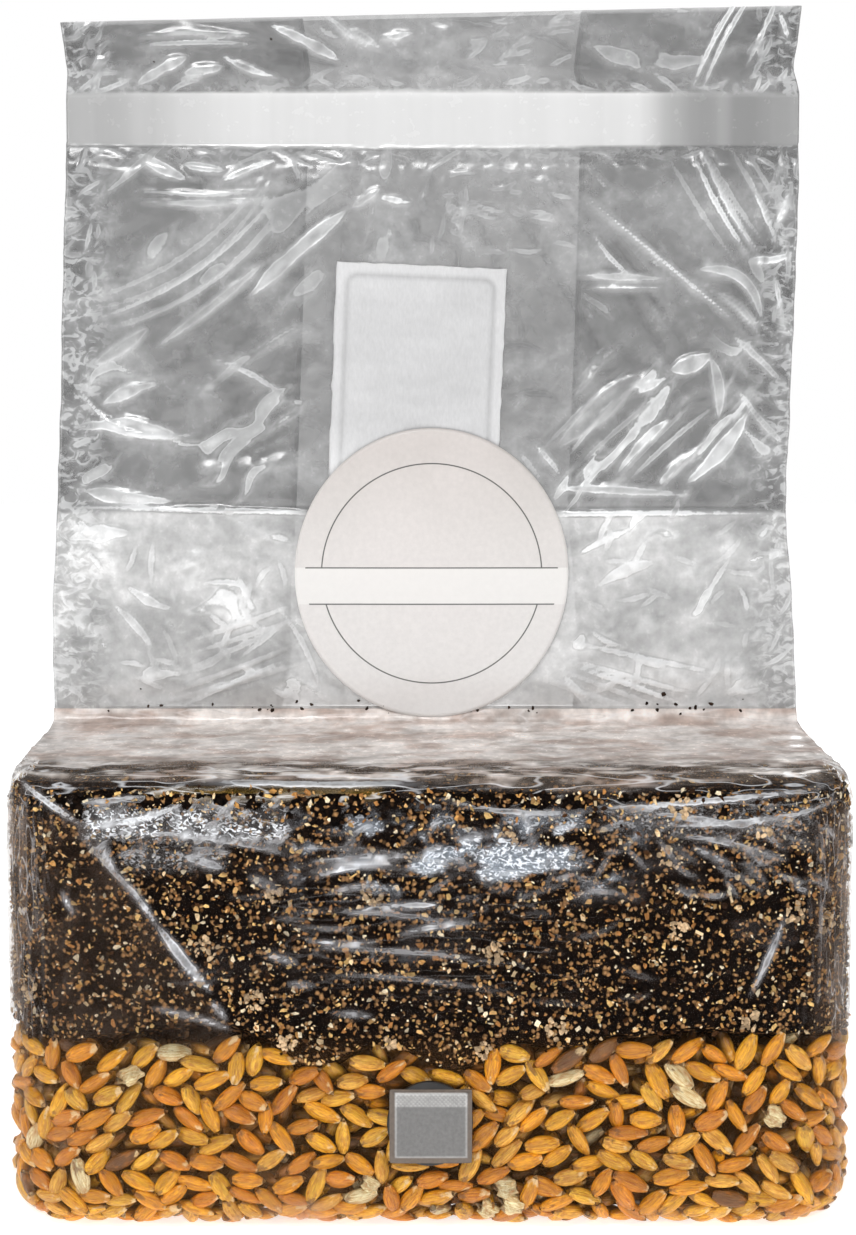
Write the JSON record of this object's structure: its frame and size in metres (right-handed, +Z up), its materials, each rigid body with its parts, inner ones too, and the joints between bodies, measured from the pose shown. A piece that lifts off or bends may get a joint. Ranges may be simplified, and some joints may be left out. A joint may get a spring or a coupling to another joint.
{
  "type": "mushroom grow bag kit",
  "caption": "Clear gusseted grow bag with a brick of grain and dark substrate, heat-sealed top, filter patch, round label and covered injection port.",
  "frame": {"origin": "centre of the bag's bounding box in plan, at the flat base the bag stands on", "axes": "+Z up along the bag's height, -Y out of the front that carries the label, filter patch and port, +X to the right as seen from the front"},
  "size_m": [0.2214, 0.1306, 0.3212],
  "materials": {
    "clear_film": "clear glossy polypropylene film",
    "grain": "satin whole grain",
    "dark_substrate": "damp matt crumb",
    "filter_paper": "embossed matt",
    "label_paper": "satin coated",
    "black_rubber": "matt",
    "grey_foil": "satin grey"
  },
  "bodies": {
    "root": {"bag": "clear_film", "grain_layer": "grain", "substrate_layer": "dark_substrate", "filter_patch": "filter_paper", "label": "label_paper", "injection_port": "black_rubber", "port_cover": "grey_foil"}
  },
  "joints": []
}
